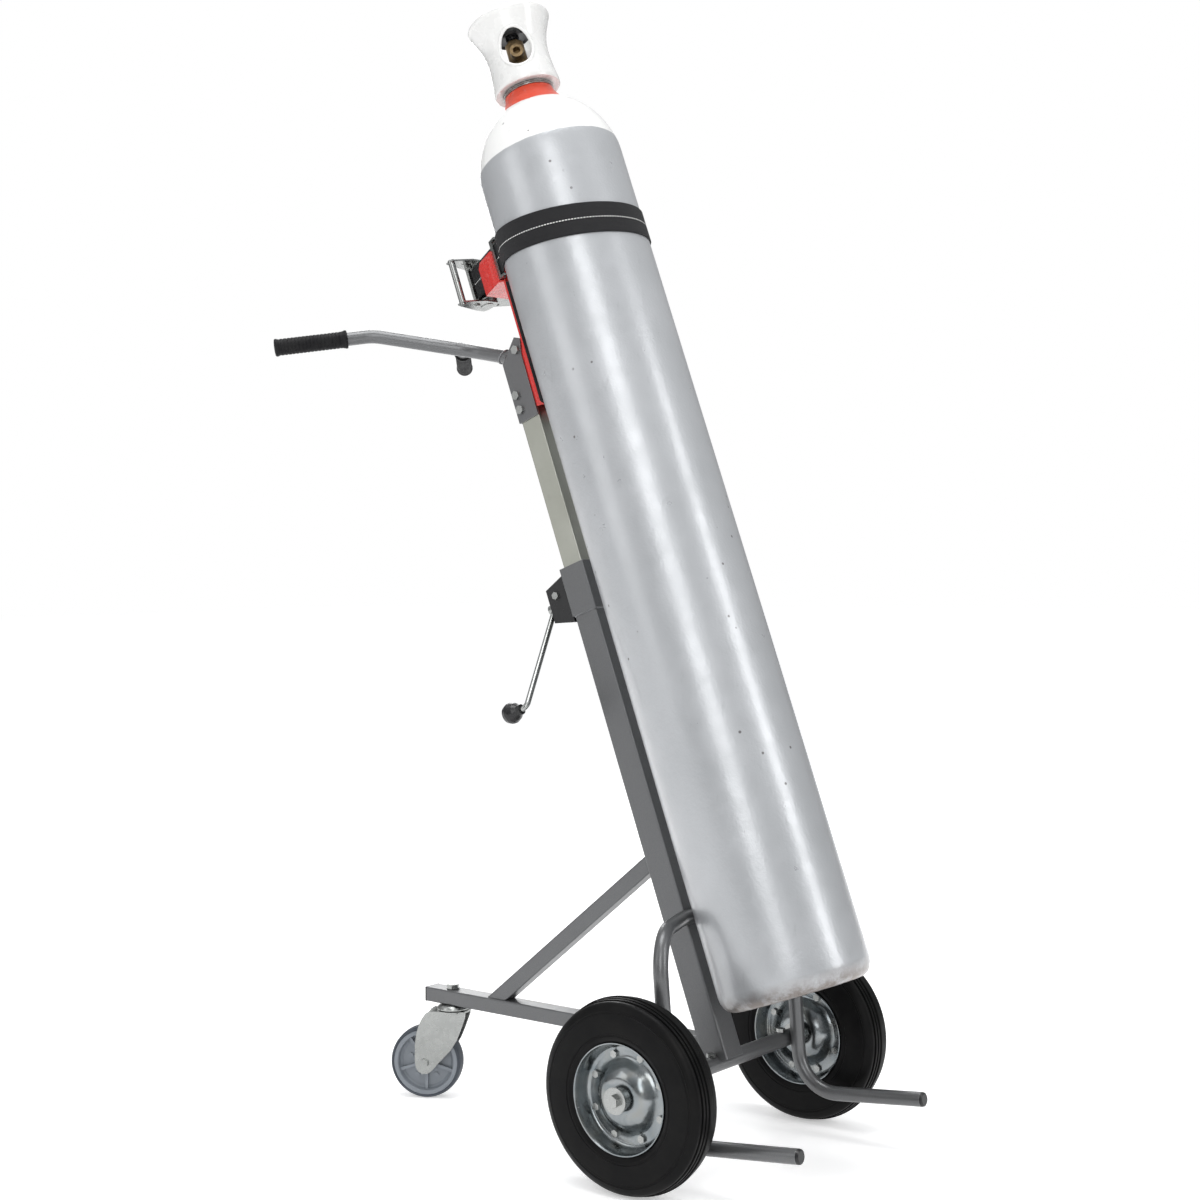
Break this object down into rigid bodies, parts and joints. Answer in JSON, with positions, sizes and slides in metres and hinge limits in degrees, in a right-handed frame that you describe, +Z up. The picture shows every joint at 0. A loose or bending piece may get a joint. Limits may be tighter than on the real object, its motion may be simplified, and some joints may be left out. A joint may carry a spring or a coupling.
{
  "type": "oxy acetylene torch cart",
  "caption": "Cylinder trolley with a crank-lifted mast, cradle, strap and handles, fork hoop, solid-tyred wheels and a swivel caster.",
  "frame": {"origin": "on the floor, under the middle of the trolley's box", "axes": "+Z up, the forks and the gas cylinder face -Y, the handlebar and the caster are at +Y, +X is the right side"},
  "size_m": [0.5484, 0.9611, 1.7773],
  "materials": {
    "frame_grey": "silver grey powder coat",
    "zinc": "bright zinc plate",
    "rim_zinc": "blue zinc plate with a yellow cast",
    "machined_steel": "machined and oiled",
    "bearing_bronze": "sintered bronze",
    "black_plastic": "moulded, fine grain",
    "grip_rubber": "matt black",
    "tyre_rubber": "black, ribbed round the tread",
    "caster_rubber": "grey, non-marking",
    "caster_grey": "grey nylon",
    "red_paint": "gloss red",
    "webbing": "woven black webbing with a white centre thread",
    "cylinder_grey": "glossy light grey paint, worn",
    "guard_white": "white paint",
    "neck_red": "red paint",
    "brass": "turned brass"
  },
  "bodies": {
    "chassis": {"mast_outer_tube": "frame_grey", "mast_collar": "frame_grey", "caster_arm": "frame_grey", "rear_brace": "frame_grey", "fork_hoop": "frame_grey", "tube_caps": "black_plastic", "axle_tube": "frame_grey", "axle_rod": "zinc", "axle_washers": "zinc", "axle_end_bolts": "zinc", "axle_lock_bolts": "zinc", "crank_housing": "black_plastic", "housing_bolt": "zinc", "screw_bearing": "bearing_bronze", "caster_head": "zinc", "caster_mount_bolt": "zinc"},
    "wheel_left": {"tyre_left": "tyre_rubber", "rim_left": "rim_zinc", "hub_left": "zinc", "bearings_left": "bearing_bronze", "rim_bolts_left": "zinc"},
    "wheel_right": {"tyre_right": "tyre_rubber", "rim_right": "rim_zinc", "hub_right": "zinc", "bearings_right": "bearing_bronze", "rim_bolts_right": "zinc"},
    "caster_swivel": {"caster_fork": "zinc", "caster_axle_bolt": "zinc"},
    "caster_wheel": {"caster_tyre": "caster_rubber", "caster_core": "caster_grey"},
    "lift": {"mast_inner_tube": "zinc", "glide_sleeve": "black_plastic", "lift_nut": "bearing_bronze", "head_bracket": "frame_grey", "head_bolts": "zinc", "handle_tubes": "frame_grey", "hand_grips": "grip_rubber", "cradle_plate": "red_paint", "cradle_bolt": "zinc", "cradle_pad": "grip_rubber", "strap_bracket": "red_paint", "ratchet_base": "zinc", "base_pawl": "zinc", "strap": "webbing", "strap_guide": "zinc", "gas_cylinder": "cylinder_grey", "neck_ring": "neck_red", "valve_guard": "guard_white", "valve_body": "brass"},
    "crank": {"crank_arm": "zinc", "crank_pinion": "machined_steel"},
    "knob": {"crank_knob": "black_plastic"},
    "screw": {"lift_screw": "machined_steel", "screw_gear": "machined_steel"},
    "ratchet_spool": {"ratchet_spool": "zinc", "ratchet_wheels": "zinc"},
    "ratchet_handle": {"ratchet_handle": "zinc", "handle_pawl": "zinc"},
    "valve_handwheel": {"valve_handwheel": "black_plastic"}
  },
  "joints": [
    {"name": "wheel_left_spin", "type": "hinge", "parent": "chassis", "child": "wheel_left", "pos_m": [-0.2325, -0.2347, 0.14], "axis": [1, 0, 0], "continuous": true},
    {"name": "wheel_right_spin", "type": "hinge", "parent": "chassis", "child": "wheel_right", "pos_m": [0.2325, -0.2347, 0.14], "axis": [1, 0, 0], "continuous": true},
    {"name": "caster_swivel", "type": "hinge", "parent": "chassis", "child": "caster_swivel", "pos_m": [0, 0.3091, 0.12], "axis": [0, 0, 1], "continuous": true},
    {"name": "caster_spin", "type": "hinge", "parent": "caster_swivel", "child": "caster_wheel", "pos_m": [-0.02155, 0.34929, 0.06], "axis": [0.8813, 0.4726, 0], "continuous": true},
    {"name": "lift", "type": "slide", "parent": "chassis", "child": "lift", "axis": [0, 0.3338, 0.9426], "range_m": [-0.2, 0.15]},
    {"name": "crank_turn", "type": "hinge", "parent": "chassis", "child": "crank", "pos_m": [0, 0.06704, 0.81941], "axis": [0, 0.9426, -0.3338], "continuous": true},
    {"name": "knob_spin", "type": "hinge", "parent": "crank", "child": "knob", "pos_m": [-0.13384, 0.05336, 0.66093], "axis": [0, 0.9426, -0.3338], "continuous": true},
    {"name": "screw_turn", "type": "hinge", "parent": "chassis", "child": "screw", "pos_m": [0, 0.00247, 0.81682], "axis": [0, 0.3338, 0.9426], "continuous": true},
    {"name": "spool_turn", "type": "hinge", "parent": "lift", "child": "ratchet_spool", "pos_m": [-0.01, 0.21686, 1.34134], "axis": [0, 0.3338, 0.9426], "continuous": true},
    {"name": "ratchet_handle_swing", "type": "hinge", "parent": "lift", "child": "ratchet_handle", "pos_m": [-0.01, 0.21686, 1.34134], "axis": [0, 0.3338, 0.9426], "range_deg": [-125, 6]},
    {"name": "valve_turn", "type": "hinge", "parent": "lift", "child": "valve_handwheel", "pos_m": [0, 0.15278, 1.73108], "axis": [0, 0.3338, 0.9426], "range_deg": [0, 720]}
  ],
  "couplings": [
    {"joint": "crank_turn", "follows": "lift", "rad_per_m": 523.6},
    {"joint": "screw_turn", "follows": "lift", "rad_per_m": 523.6}
  ]
}
